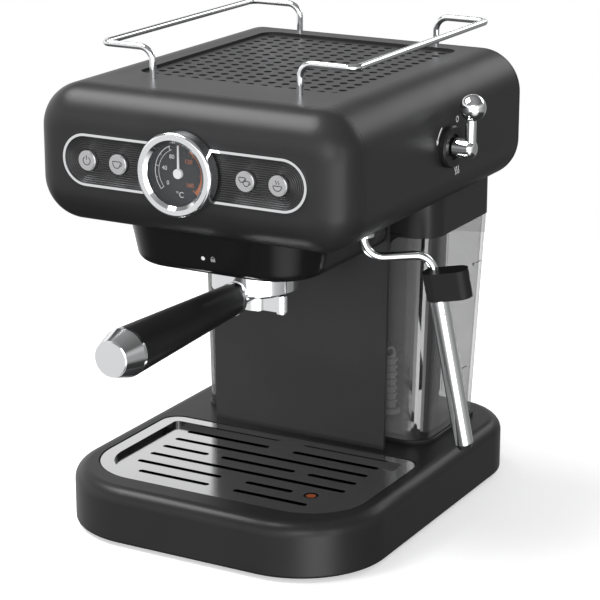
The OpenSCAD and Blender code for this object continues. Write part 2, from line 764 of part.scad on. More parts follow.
// From the pump's side to the back of the boiler
module pressure_hose() color([0.85, 0.85, 0.8]) placed() translate([0, 0, pump_at[2]]) {
  translate([0, pump_at[1] + 30, 0]) along_x(12, pump_at[0] - 24, 2.5);
  translate([12, pump_at[1] + 18, 0]) rotate([0, 0, 90]) bend(12, 2.5);
  along_y(group_y + 34, pump_at[1] + 18, 2.5);
}

valve_z = head_mid_z + 1.2;
pipe_r = 2;
pipe_bend = 8;
pipe_x = 54;
pipe_y = 30;
drop_z = 226;
nut_top_z = 217;

// Boiler to valve, and valve to wand
module steam_pipes() color([0.75, 0.45, 0.3]) placed() {
  translate([0, pipe_y, valve_z]) along_x(29.8, pipe_x - pipe_bend, pipe_r);
  translate([pipe_x - pipe_bend, pipe_y + pipe_bend, valve_z]) rotate([0, 0, -90]) bend(pipe_bend, pipe_r);
  translate([pipe_x, 0, valve_z]) along_y(pipe_y + pipe_bend, knob_y - pipe_bend, pipe_r);
  translate([pipe_x + pipe_bend, knob_y - pipe_bend, valve_z]) rotate([0, 0, 90]) bend(pipe_bend, pipe_r);
  translate([0, knob_y, valve_z]) along_x(pipe_x + pipe_bend, 70, pipe_r);
  translate([wand_x, knob_y, 0]) along_z(drop_z + pipe_bend, valve_z - 11, pipe_r);
  translate([wand_x, knob_y - pipe_bend, drop_z + pipe_bend]) upright() rotate([0, 0, 90])
    bend(pipe_bend, pipe_r);
  translate([wand_x, wand_y + pipe_bend, drop_z - pipe_bend]) upright() rotate([0, 0, -90])
    bend(pipe_bend, pipe_r);
  translate([wand_x, wand_y, 0]) along_z(nut_top_z, drop_z - pipe_bend, pipe_r);
  translate([wand_x, 0, drop_z]) along_y(wand_y + pipe_bend, knob_y - pipe_bend, pipe_r);
}

module steam_valve() color([0.75, 0.6, 0.3]) placed() translate([0, knob_y, valve_z]) difference() {
  union() {
    along_x(70, 94, 11);
    along_x(94, 109, 8);
  }
  along_x(88, 112, 3.05);
}

// ---------- steam controls ----------

disc_t = 4.4;
hub_r = 6.2;

module escutcheon() color([0.06, 0.06, 0.06]) placed() translate([0, knob_y, valve_z]) difference() {
  union() {
    along_x(head_w / 2, head_w / 2 + disc_t - 1.2, 13.5);
    translate([head_w / 2 + disc_t - 1.2, 0, 0]) rotate([0, 90, 0]) cylinder(h = 1.2, r1 = 13.5, r2 = 12.5);
    along_x(109, head_w / 2, 9.3);
  }
  along_x(100, 120, 5.1);
  along_x(head_w / 2 + disc_t - 1.4, 120, 8.4);
}

// Stem, crank arm and ball
module steam_knob() color(steel) placed() translate([0, knob_y, valve_z]) {
  along_x(90, 110, 3);
  along_x(110, head_w / 2 + disc_t, 5);
  translate([head_w / 2 + disc_t - 0.9, 0, 0]) rotate([0, 90, 0]) rotate_extrude() {
    h = ball_x + 2.6 - head_w / 2 - disc_t + 0.9;
    square([hub_r, h - 4]);
    square([hub_r - 4, h]);
    translate([hub_r - 4, h - 4]) intersection() {
      circle(4);
      square(4);
    }
  }
  translate([ball_x - 1, 0, 0]) along_z(0, 22, 3.5);
  translate([ball_x, 0, 26.4]) sphere(ball_r);
}

// Frame of the upper wand: its x runs along the arm
module at_wand() translate([wand_x, wand_y, 0]) rotate([0, 0, wand_turn]) children();

arm_z = 187.8;
arm_len = 43.8;
top_bend = 13.5;
low_bend = 13.4;
grip_s = [11.2, 30];
grip_turn = -26;
sleeve_s = [30.2, 134];
sleeve_r = 6.2;

// Lower wand's frame: its origin is where the two centre lines meet, -z points down the wand
module at_lower() at_wand() translate([arm_len, 0, arm_z]) rotate([0, -wand_lean, 0]) children();

module wand_nut() color(steel) placed() translate([wand_x, wand_y, 0]) difference() {
  union() {
    along_z(arm_z + top_bend + 0.8, head_bottom_z, 7);
    along_z(head_bottom_z - 0.1, nut_top_z, 6);
    along_z(head_bottom_z + skin, head_bottom_z + skin + 3, 9);
  }
  along_z(199, 215, wand_r + 0.06);
}

module wand_tube() color(steel) placed() {
  reach = low_bend * tan((90 - wand_lean) / 2);
  swell = 0.05;
  run_in = 0.4;
  at_wand() {
    along_z(arm_z + top_bend - run_in, 214, wand_r);
    translate([top_bend, 0, arm_z + top_bend]) rotate([90, 0, 0]) rotate([0, 0, 180])
      bend(top_bend, wand_r + swell);
    translate([0, 0, arm_z]) along_x(top_bend - run_in, arm_len - reach + run_in, wand_r);
    translate([arm_len - reach, 0, arm_z - low_bend]) rotate([90, 0, 0]) rotate([0, 0, wand_lean])
      bend(low_bend, wand_r + swell, 90 - wand_lean);
  }
  at_lower() {
    along_z(-68, run_in - reach, wand_r);
    for (s = [-46, -61]) translate([0, 0, s]) rotate_extrude() translate([wand_r, 0]) circle(1.1);
  }
}

// Rubber grip: an oval block round the tube, longer towards the outside
module wand_grip() color([0.05, 0.05, 0.05]) placed() at_lower() rotate([0, 0, grip_turn])
  translate([0, 0, -grip_s[1]]) linear_extrude(grip_s[1] - grip_s[0]) difference() {
    slot(-7.6, 22, 7);
    circle(wand_r);
  }

module froth_sleeve() color(steel) placed() at_lower() difference() {
  union() {
    along_z(-sleeve_s[1] + 4, -sleeve_s[0], sleeve_r);
    translate([0, 0, -sleeve_s[1]]) cylinder(h = 4, r1 = 4.2, r2 = sleeve_r);
  }
  along_z(-72, -sleeve_s[0] + 1, wand_r + 1.15);
  along_z(-sleeve_s[1] - 1, -71, 2);
  translate([0, 0, -sleeve_s[0] - 8.8]) rotate([90, 0, 0]) cylinder(h = 10, r = 0.8);
}

module cord_gland() color([0.06, 0.06, 0.06]) placed() translate([-60, 0, 18]) difference() {
  union() {
    along_y(base_rear_y - 7.2, base_rear_y, 6.9);
    along_y(base_rear_y - 10, base_rear_y - 7.1, 9);
  }
  along_y(base_rear_y - 11, base_rear_y + 1, 3.5);
}

base_shell();
bottom_plate();
feet();
base_screws();
tank_pad();
drip_tray();
drip_grid();
float();
column_panel();
column_back();
collar();
head_sleeve();
front_cap();
rear_cap();
rear_screws();
warmer_plate();
warmer_pan();
rail_left();
rail_right();
rail_nuts();
fascia();
panel_trim();
gauge_barrel();
gauge_bezel();
gauge_dial();
gauge_glass();
gauge_needle();
button_power();
button_single();
button_double();
button_steam();
button_board();
control_board();
group_housing();
group_head();
group_gasket();
shower_screen();
boiler();
boiler_cap();
pump();
pump_mounts();
suction_hose();
pressure_hose();
steam_pipes();
steam_valve();
escutcheon();
steam_knob();
wand_nut();
wand_tube();
wand_grip();
froth_sleeve();
pf_body();
pf_basket();
pf_spout();
pf_rings();
pf_handle();
pf_cap();
tank();
tank_hose();
cord_gland();
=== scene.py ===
"""Finishes, printed marks and studio for the espresso machine."""

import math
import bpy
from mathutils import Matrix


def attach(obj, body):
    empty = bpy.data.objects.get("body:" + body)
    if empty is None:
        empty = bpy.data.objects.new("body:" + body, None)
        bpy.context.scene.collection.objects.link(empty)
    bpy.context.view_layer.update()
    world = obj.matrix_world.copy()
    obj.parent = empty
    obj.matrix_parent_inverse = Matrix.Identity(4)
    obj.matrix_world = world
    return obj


bl_info = {
    "name": "Espresso machine",
    "version": (1, 0, 0),
    "blender": (4, 5, 0),
    "location": "3D View > Sidebar > Espresso",
    "description": "Dresses the espresso machine and sets up its studio",
    "category": "Object",
}

import bmesh
import bpy
from mathutils import Vector

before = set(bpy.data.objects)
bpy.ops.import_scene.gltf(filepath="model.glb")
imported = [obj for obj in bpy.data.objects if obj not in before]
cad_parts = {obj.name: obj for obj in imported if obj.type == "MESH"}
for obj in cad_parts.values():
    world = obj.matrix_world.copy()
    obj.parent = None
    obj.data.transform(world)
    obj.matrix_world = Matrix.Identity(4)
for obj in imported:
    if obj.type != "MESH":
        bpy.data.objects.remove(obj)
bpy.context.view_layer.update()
MM = 0.001
X, Y, Z = Vector((1, 0, 0)), Vector((0, 1, 0)), Vector((0, 0, 1))


# ---------------------------------------------------------------- places, in millimetres

# Where the machine's own x = 0, y = 0 line stands in the part's frame
SHIFT = Vector((-12.55, -17.5, 0))

# Face of the dial and of the buttons, the height of their centres, and half of the panel's
# straight length
PANEL_FACE_Y = -78.6
PANEL_Z = 252.15
PANEL_STRAIGHT = 69.5
BUTTON_INNER_X = 44.9
BUTTON_OUTER_X = 67.3

# Upright axis of the brewing group, and the place of the lock mark on the housing's raked wall
GROUP_AXIS = (0, 11.5, 0)
LOCK_AT = (0, -50.747, 192)
HOUSING_RAKE = math.atan(5.5 / 27.9)

FLOAT_AT = (57.5, -18.92, 0)
FLOAT_HUB_RADIUS = 3.1

# The tank's side walls stand further out the higher they are
TANK_FLOOR_Z = 41.5
TANK_HALF_WIDTH = 86
TANK_SPREAD = 4.5 / 142
TANK_MIDDLE_Y = 110
TANK_BACK_Y = 155
TANK_GRIP_HALF = 58.5

# Right side of the head, the knob's axis on it, and the steam valve behind it
SIDE_X = 112
KNOB_AT = (60, 253.35)
VALVE_AT = (82, 60, 253)


def at(x, y, z):
    """A point of the machine, given in millimetres, in the part's frame."""
    return (Vector((x, y, z)) + SHIFT) * MM


# ---------------------------------------------------------------- settings


class EspressoFinishes(bpy.types.PropertyGroup):
    """Colours and gloss of the machine's surfaces"""

    body: bpy.props.FloatVectorProperty(
        name="Body", description="Paint of the head", subtype="COLOR", size=3,
        default=(0.021, 0.021, 0.022))
    plastic: bpy.props.FloatVectorProperty(
        name="Plastic", description="Moulded parts under the head", subtype="COLOR", size=3,
        default=(0.009, 0.009, 0.0095))
    handle: bpy.props.FloatVectorProperty(
        name="Handle", description="Handle of the portafilter", subtype="COLOR", size=3,
        default=(0.009, 0.009, 0.0095))
    chrome: bpy.props.FloatVectorProperty(
        name="Chrome", description="Plated parts", subtype="COLOR", size=3,
        default=(0.86, 0.87, 0.88))
    steel: bpy.props.FloatVectorProperty(
        name="Steel", description="Stainless parts of the brewing group", subtype="COLOR", size=3,
        default=(0.72, 0.72, 0.73))
    grid: bpy.props.FloatVectorProperty(
        name="Grid", description="Brushed steel of the drip grid", subtype="COLOR", size=3,
        default=(0.95, 0.95, 0.955))
    tank: bpy.props.FloatVectorProperty(
        name="Tank", description="Smoky plastic of the water tank", subtype="COLOR", size=3,
        default=(0.3, 0.3, 0.305))
    amber: bpy.props.FloatVectorProperty(
        name="Hot range", description="Hot range of the dial", subtype="COLOR", size=3,
        default=(0.42, 0.11, 0.02))
    body_roughness: bpy.props.FloatProperty(
        name="Body roughness", description="Roughness of the paint", subtype="FACTOR",
        default=0.36, min=0, max=1)


class EspressoSizes(bpy.types.PropertyGroup):
    """Sizes of the printed marks"""

    line: bpy.props.FloatProperty(
        name="Line", description="Width of the lines of the button marks", unit="LENGTH",
        default=0.00062, min=0.0001)
    rib: bpy.props.FloatProperty(
        name="Rib pitch", description="Distance between the ribs of the front panel",
        unit="LENGTH", default=0.0014, min=0.0005)
    print_height: bpy.props.FloatProperty(
        name="Print height", description="How far the printed marks stand proud", unit="LENGTH",
        default=0.00005, min=0.00001)


class EspressoStudio(bpy.types.PropertyGroup):
    """Camera and light"""

    lens: bpy.props.FloatProperty(
        name="Lens", description="Focal length in millimetres on a 36 mm sensor",
        default=133.5, min=20)
    camera_at: bpy.props.FloatVectorProperty(
        name="Camera", description="Where the camera stands", subtype="TRANSLATION",
        unit="LENGTH", size=3, default=(0.6808, -1.19832, 0.5655))
    look_at: bpy.props.FloatVectorProperty(
        name="Target", description="What the camera looks at", subtype="TRANSLATION",
        unit="LENGTH", size=3, default=(0.02642, -0.0175, 0.15757))
    floor: bpy.props.FloatVectorProperty(
        name="Floor", description="Colour of the floor", subtype="COLOR", size=3,
        default=(0.84, 0.84, 0.84))
    floor_radius: bpy.props.FloatProperty(
        name="Floor radius", description="Radius of the floor", unit="LENGTH",
        default=0.75, min=0.3)
    floor_glow: bpy.props.FloatProperty(
        name="Floor glow", description="Light that the floor gives of itself",
        default=0.45, min=0)


def finishes():
    return bpy.context.scene.espresso_finishes


def sizes():
    return bpy.context.scene.espresso_sizes


# ---------------------------------------------------------------- material graphs


class Signal:
    """A socket of a material that can stand in a sum."""

    def __init__(self, graph, socket):
        self.graph = graph
        self.socket = socket

    def maths(self, operation, *values):
        """A Math node on this signal and the other values."""
        return self.graph.add("ShaderNodeMath", {"operation": operation}, self, *values)

    def larger(self, other):
        """The larger of this signal and another value."""
        return self.maths("MAXIMUM", other)

    def __add__(self, other):
        return self.maths("ADD", other)

    def __sub__(self, other):
        return self.maths("SUBTRACT", other)

    def __rsub__(self, other):
        return self.graph.add("ShaderNodeMath", {"operation": "SUBTRACT"}, other, self)

    def __mul__(self, other):
        return self.maths("MULTIPLY", other)

    def __pow__(self, other):
        return self.maths("POWER", other)

    def __abs__(self):
        return self.maths("ABSOLUTE")

    def __lt__(self, other):
        return self.maths("LESS_THAN", other)

    def __gt__(self, other):
        return self.maths("GREATER_THAN", other)

    __radd__ = __add__
    __rmul__ = __mul__


class Graph:
    """Nodes of a material or of the studio's sky."""

    def __init__(self, tree, shader):
        self.tree, self.shader = tree, tree.nodes[shader]

    def put(self, socket, value):
        """Links or sets one input of the shader."""
        self.join(self.shader.inputs[socket], value)

    def join(self, socket, value):
        """Links or sets a socket; a colour of three channels becomes opaque."""
        if isinstance(value, Signal):
            self.tree.links.new(value.socket, socket)
        elif value is not None:
            if socket.type == "RGBA" and len(value) == 3:
                value = (*value, 1)
            socket.default_value = value

    def add(self, kind, settings=None, *values, output=0, **named):
        """Adds a node with its settings, fills its sockets and gives back one of its outputs."""
        node = self.tree.nodes.new(kind)
        for key, value in (settings or {}).items():
            if key == "stops":
                for _ in range(len(value) - 2):
                    node.color_ramp.elements.new(0.5)
                for element, (place, grey) in zip(node.color_ramp.elements, value):
                    element.position = place
                    element.color = (grey, grey, grey, 1)
            else:
                setattr(node, key, value)
        for socket, value in zip(node.inputs, values):
            self.join(socket, value)
        for socket, value in named.items():
            self.join(node.inputs[socket.replace("_", " ")], value)
        return Signal(self, node.outputs[output])

    def blend(self, mask, low, high):
        """Colour between two colours by a mask."""
        node = self.tree.nodes.new("ShaderNodeMix")
        node.data_type = "RGBA"
        self.join(node.inputs["Factor"], mask)
        colours = [socket for socket in node.inputs if socket.type == "RGBA"]
        for socket, value in zip(colours, (low, high)):
            self.join(socket, value)
        return Signal(self, next(socket for socket in node.outputs if socket.type == "RGBA"))

    def axes(self, output="Object"):
        """The x, y and z of the position on the part, in metres, or of another coordinate."""
        place = self.add("ShaderNodeTexCoord", output=output)
        spread = self.add("ShaderNodeSeparateXYZ", None, place).socket.node
        return [Signal(self, socket) for socket in spread.outputs]


class Finish(Graph):
    """A material."""

    def __init__(self, name, **constants):
        self.material = bpy.data.materials.new(name)
        self.material.use_nodes = True
        super().__init__(self.material.node_tree, "Principled BSDF")
        for socket, value in constants.items():
            self.put(socket.replace("_", " "), value)

    def noise(self, scale, detail=2.0, stretch=(1, 1, 1)):
        """Noise of the given scale per metre, stretched along the axes."""
        place = self.add("ShaderNodeTexCoord", output="Object")
        vector = self.add("ShaderNodeVectorMath", {"operation": "MULTIPLY"}, place, stretch)
        return self.add("ShaderNodeTexNoise", None, Vector=vector, Scale=scale, Detail=detail,
                        output="Fac")

    def tint(self, mask, colour, low, high):
        """Base colour that goes from one shade to another by a mask."""
        self.put("Base Color", self.blend(mask, shade(colour, low), shade(colour, high)))

    def bump(self, height, strength, distance=0.0002):
        self.put("Normal", self.add("ShaderNodeBump", None, Strength=strength,
                                    Distance=distance, Height=height))


def shade(colour, factor):
    return tuple(channel * factor for channel in colour)


def moulded(name, colour, roughness, grain=0.05, grain_scale=2600, shine=0.2):
    """Moulded or painted surface with a fine grain and slightly uneven gloss."""
    finish = Finish(name, Specular_IOR_Level=shine)
    cloud = finish.noise(38, 3)
    fine = finish.noise(grain_scale)
    finish.tint(cloud, colour, 0.86, 1.14)
    finish.put("Roughness", roughness + (cloud - 0.5) * 0.06 + (fine - 0.5) * 0.05)
    finish.bump(fine, grain)
    return finish


def plated(name, colour, roughness):
    """Bright plating with faint haze."""
    finish = Finish(name, Metallic=1.0)
    haze = finish.noise(60, 4)
    finish.tint(haze, colour, 0.96, 1)
    finish.put("Roughness", roughness + haze * 0.035)
    return finish


def brushed(name, colour, roughness, scale, depth, stretch=(1, 1, 1)):
    """Metal with a grain, brushed along an axis where it is stretched."""
    finish = Finish(name, Metallic=1.0)
    grain = finish.noise(scale, 3, stretch)
    cloud = finish.noise(30)
    finish.tint(grain, colour, 0.92, 1.06)
    finish.put("Roughness", roughness + (grain - 0.5) * 0.12 + (cloud - 0.5) * 0.05)
    finish.bump(grain, depth, 0.0001)
    return finish


# Radians of the wave of rings per metre of radius: a ring every 0.7 mm
RING_RATE = 9000


def turned(name, colour, roughness, centre, axis):
    """Metal with fine rings round an axis."""
    finish = Finish(name, Metallic=1.0)
    x, y, z = finish.axes()
    across = {"y": (x - centre[0], z - centre[2]), "z": (x - centre[0], y - centre[1])}[axis]
    radius = (across[0] ** 2 + across[1] ** 2) ** 0.5
    rings = (radius * RING_RATE).maths("SINE") * 0.5 + 0.5
    mask = rings * finish.noise(400, 3)
    finish.tint(mask, colour, 0.93, 1.04)
    finish.put("Roughness", roughness + (mask - 0.25) * 0.12)
    finish.bump(mask, 0.05, 0.00008)
    return finish


def clear(name, colour, body, edge, roughness=0.03):
    """Clear or smoky plastic that shows what is behind it, less so where it is seen edge on."""
    finish = Finish(name, IOR=1.49, Specular_IOR_Level=0.9)
    rim = finish.add("ShaderNodeLayerWeight", None, Blend=0.35, output="Facing")
    cloud = finish.noise(45)
    finish.tint(cloud, colour, 0.9, 1.1)
    finish.put("Roughness", roughness + cloud * 0.03)
    finish.rim = rim ** 2.5
    finish.alpha = body + (edge - body) * finish.rim + (cloud - 0.5) * 0.02
    finish.put("Alpha", finish.alpha)
    return finish


def printed(name, colour):
    """Screen-printed ink."""
    finish = Finish(name)
    speck = finish.noise(5000)
    finish.tint(speck, colour, 0.85, 1.05)
    finish.put("Roughness", 0.5 + (speck - 0.5) * 0.1)
    return finish


def ribbed(name, colour, pitch):
    """Panel with fine ribs that run along it and turn round its ends, with painted shade and
    highlight.
    """
    finish = Finish(name)
    x, _, z = finish.axes()
    middle = at(0, 0, PANEL_Z)
    past_straight = (abs(x - middle.x) - PANEL_STRAIGHT * MM).larger(0.0)
    radius = (past_straight ** 2 + (z - middle.z) ** 2) ** 0.5
    wave = (radius * (2 * math.pi / pitch)).maths("COSINE") * 0.5 + 0.5
    grain = finish.noise(3000)
    # Painted shade and highlight: the base colour is darker in the grooves and lighter on the
    # crests of the ribs
    finish.tint(wave, colour, 0.45, 1.5)
    finish.put("Roughness", 0.34 + (1 - wave) * 0.25 + (grain - 0.5) * 0.05)
    finish.bump(wave, 0.8, 0.00035)
    return finish


def coat(node, finish):
    """Gives a CAD node its finish."""
    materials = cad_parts[node].data.materials
    materials.clear()
    materials.append(finish.material)


def coat_all(nodes, finish):
    for node in nodes:
        coat(node, finish)


# ---------------------------------------------------------------- printed marks

# Whole depth of a print over how far it stands proud; the rest is under the surface
PRINT_DEPTH = 1.6

# Type size over the height of a figure, and half of the depth of the letters, in metres
TYPE_RATIO = 1.38
LETTER_HALF_DEPTH = 0.00002


class Sheet:
    """A flat place to print on: its origin, its right and its up, in the part's frame."""

    def __init__(self, origin, right, up):
        self.origin, self.right, self.up = origin, right.normalized(), up.normalized()
        self.out = self.right.cross(self.up)

    def point(self, u, v, lift=0.0):
        """A point of the sheet, its place in millimetres and its lift in metres."""
        return self.origin + (self.right * u + self.up * v) * MM + self.out * lift

    def moved(self, u, v):
        return Sheet(self.point(u, v), self.right, self.up)


def polar(radius, angle, centre=(0, 0)):
    """A point at an angle in degrees from the right, counter-clockwise."""
    turn = math.radians(angle)
    return centre[0] + radius * math.cos(turn), centre[1] + radius * math.sin(turn)


def arc(radius, start, end, centre=(0, 0), steps=24):
    """Points on an arc between two angles."""
    return [polar(radius, start + (end - start) * i / steps, centre) for i in range(steps + 1)]


def ribbon(points, width, closed=False):
    """Quads along a line of points, in millimetres."""
    count = len(points)
    left, right = [], []
    for i, (u, v) in enumerate(points):
        before = points[i - 1] if (i or closed) else points[i]
        after = points[(i + 1) % count] if (i < count - 1 or closed) else points[i]
        du, dv = after[0] - before[0], after[1] - before[1]
        length = math.hypot(du, dv) or 1.0
        nu, nv = -dv / length * width / 2, du / length * width / 2
        left.append((u + nu, v + nv))
        right.append((u - nu, v - nv))
    pairs = range(count if closed else count - 1)
    return [(left[i], left[(i + 1) % count], right[(i + 1) % count], right[i]) for i in pairs]


def add_print(name, mesh, body, finish):
    """Puts a printed mesh on its body."""
    mesh.materials.append(finish.material)
    piece = bpy.data.objects.new(name, mesh)
    bpy.context.scene.collection.objects.link(piece)
    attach(piece, body)


def inlay(name, faces, sheet, body, finish):
    """Thin raised print made of flat faces on a sheet."""
    shape = bmesh.new()
    lift = sizes().print_height
    for face in faces:
        shape.faces.new([shape.verts.new(sheet.point(u, v, lift)) for u, v in face])
    bmesh.ops.remove_doubles(shape, verts=shape.verts, dist=1e-6)
    grown = bmesh.ops.extrude_face_region(shape, geom=shape.faces[:])
    moved = [item for item in grown["geom"] if isinstance(item, bmesh.types.BMVert)]
    bmesh.ops.translate(shape, verts=moved, vec=-sheet.out * lift * PRINT_DEPTH)
    bmesh.ops.recalc_face_normals(shape, faces=shape.faces)
    mesh = bpy.data.meshes.new(name)
    shape.to_mesh(mesh)
    shape.free()
    add_print(name, mesh, body, finish)


def lettering(name, words, height, sheet, body, finish):
    """Numbers of a height in millimetres set flat on a sheet, centred."""
    font = bpy.data.curves.new(name, "FONT")
    font.body = words
    font.size = height * MM * TYPE_RATIO
    font.align_x, font.align_y = "CENTER", "CENTER"
    font.extrude = LETTER_HALF_DEPTH
    font.resolution_u = 4
    writer = bpy.data.objects.new(name, font)
    bpy.context.scene.collection.objects.link(writer)
    bpy.context.view_layer.update()
    written = writer.evaluated_get(bpy.context.evaluated_depsgraph_get())
    mesh = bpy.data.meshes.new_from_object(written)
    bpy.data.objects.remove(writer)
    for vertex in mesh.vertices:
        u, v, w = vertex.co
        vertex.co = sheet.point(u / MM, v / MM, w + sizes().print_height)
    mesh.materials.clear()
    add_print(name, mesh, body, finish)


# ---------------------------------------------------------------- studio

# Each lamp's place, its width and height in metres, and its power in watts
LAMPS = (
    ("overhead", (-0.65, -0.3, 1.45), (1.1, 0.7), 30),
    ("rear_box", (0.55, 1.5, 0.95), (1.2, 0.5), 5),
    ("right_box", (1.3, -0.6, 0.25), (0.14, 1.1), 2.5),
    ("front_box", (1.0, -1.9, 0.85), (1.1, 1.2), 13),
)
LAMP_TARGET = Vector((0, 0, 0.2))

# Grey of the room by height, from straight down to straight up; the camera itself sees white
SKY = ((0.0, 0.04), (0.25, 0.09), (0.33, 0.8), (0.5, 0.85),
       (0.6, 1.25), (0.66, 1.1), (0.74, 0.25), (1.0, 0.33))

# Patches of the room, each with its direction from the machine, the closeness to it at which
# the patch begins, and its strength: the dark wall behind the machine, the window in front of
# it, and a small light low on its right
WALL = ((0.55, 0.83, 0), 0.0, 0.72)
WINDOW = ((0.5, -0.86, 0), 0.6, 2.6)
LOW_LIGHT = ((0.6, -0.53, -0.61), 0.88, 110)


class EspressoStage(bpy.types.Operator):
    """Sets up the camera, the floor and the soft lights"""

    bl_idname = "espresso.stage"
    bl_label = "Stage"
    bl_options = {"REGISTER", "UNDO"}

    def execute(self, context):
        studio = context.scene.espresso_studio
        self.camera(context.scene, studio)
        context.scene.view_settings.view_transform = "Standard"
        self.floor(context.scene, studio)
        for lamp in LAMPS:
            self.lamp(context.scene, *lamp)
        self.sky(context.scene)
        return {"FINISHED"}

    def camera(self, scene, studio):
        data = bpy.data.cameras.new("camera")
        data.lens, data.sensor_width = studio.lens, 36
        data.clip_start, data.clip_end = 0.05, 50
        camera = bpy.data.objects.new("camera", data)
        scene.collection.objects.link(camera)
        camera.location = studio.camera_at
        gaze = Vector(studio.look_at) - Vector(studio.camera_at)
        camera.rotation_euler = gaze.to_track_quat("-Z", "Y").to_euler()
        scene.camera = camera

    def floor(self, scene, studio):
        finish = Finish("floor")
        cloud = finish.noise(6, 3)
        finish.tint(cloud, studio.floor, 0.985, 1)
        finish.put("Roughness", 0.55 + cloud * 0.1)
        finish.put("Emission Color", (1, 1, 1))
        finish.put("Emission Strength", studio.floor_glow)
        shape = bmesh.new()
        bmesh.ops.create_circle(shape, cap_ends=True, segments=96, radius=studio.floor_radius)
        mesh = bpy.data.meshes.new("floor")
        shape.to_mesh(mesh)
        shape.free()
        mesh.materials.append(finish.material)
        floor = bpy.data.objects.new("floor", mesh)
        scene.collection.objects.link(floor)
        floor.location.z = -0.0005
        floor.visible_glossy = floor.visible_diffuse = False

    def lamp(self, scene, name, place, size, power):
        light = bpy.data.lights.new(name, "AREA")
        light.shape = "RECTANGLE"
        light.size, light.size_y, light.energy = *size, power
        lamp = bpy.data.objects.new(name, light)
        scene.collection.objects.link(lamp)
        lamp.location = place
        lamp.rotation_euler = (LAMP_TARGET - Vector(place)).to_track_quat("-Z", "Y").to_euler()

    def sky(self, scene):
        world = bpy.data.worlds.new("studio")
        world.use_nodes = True
        scene.world = world
        graph = Graph(world.node_tree, "Background")
        x, y, z = graph.axes("Generated")

        def patch(direction, start, strength):
            closeness = x * direction[0] + y * direction[1] + z * direction[2]
            return (closeness - start).larger(0.0) * strength

        seen = graph.add("ShaderNodeLightPath", output="Is Camera Ray")
        height = graph.add("ShaderNodeValToRGB", {"stops": SKY}, z * 0.5 + 0.5)
        glow = patch(*WINDOW) + patch(*LOW_LIGHT)
        graph.put("Strength", 1 + glow * (1 - seen))
        room = graph.blend(1 - patch(*WALL), (0, 0, 0), height)
        graph.put("Color", graph.blend(seen, room, (1, 1, 1)))


# ---------------------------------------------------------------- outside


class EspressoShells(bpy.types.Operator):
    """Paints the head and colours the moulded shells"""

    bl_idname = "espresso.shells"
    bl_label = "Head, base and column"
    bl_options = {"REGISTER", "UNDO"}

    def execute(self, context):
        look = finishes()
        paint = moulded("head_paint", look.body, look.body_roughness,
                        grain=0.035, grain_scale=3200)
        coat_all(("head_sleeve", "front_cap", "rear_cap"), paint)
        gloss = moulded("shell_plastic", look.plastic, 0.17, grain=0.015, shine=0.34)
        coat("group_housing", gloss)
        satin = moulded("base_plastic", shade(look.body, 0.95), 0.33, grain=0.04)
        coat_all(("base_shell", "tank_pad", "collar"), satin)
        column = moulded("column_plastic", shade(look.body, 1.2), 0.3,
                         grain=0.03, grain_scale=2200, shine=0.27)
        coat_all(("column_panel", "column_back"), column)
        return {"FINISHED"}


class EspressoPanel(bpy.types.Operator):
    """Finishes the ribbed front panel and its trim"""

    bl_idname = "espresso.panel"
    bl_label = "Front panel"
    bl_options = {"REGISTER", "UNDO"}

    def execute(self, context):
        coat("fascia", ribbed("panel_ribs", (0.012, 0.012, 0.013), sizes().rib))
        coat("panel_trim", plated("trim_chrome", finishes().chrome, 0.06))
        return {"FINISHED"}


# The two ranges of the dial, in degrees and millimetres: arcs as radius, first angle, last
# angle and width, the steps of an arc, and strokes as angle and length
COLD_RANGE = (((17.3, 221, 112, 0.5), (14.8, 221, 112, 0.3)), 27,
              ((220, 2.8), (194.5, 1.4), (169, 2.4), (142.5, 1.4), (116, 3.0)))
HOT_RANGE = (((18.9, 112, -46, 0.3), (16.2, 62, -46, 2.6)), 39,
             ((90, 1.6), (49.5, 4.2), (24, 1.5), (-1, 4.0), (-24, 1.5), (-46, 4.4)))
STROKE_OUTER_RADIUS = 17.6
STROKE_WIDTH = 0.4

# Numbers of each range: what they say, the angle and the radius of their middle
COLD_NUMBERS = (("0", 219, 10.9), ("40", 169, 10.9), ("80", 120, 10.9))
HOT_NUMBERS = (("120", 50, 9.8), ("160", -44, 9.8))
NUMBER_HEIGHT = 2.7
UNIT_HEIGHT = 3.7
UNIT_BELOW = 13.5


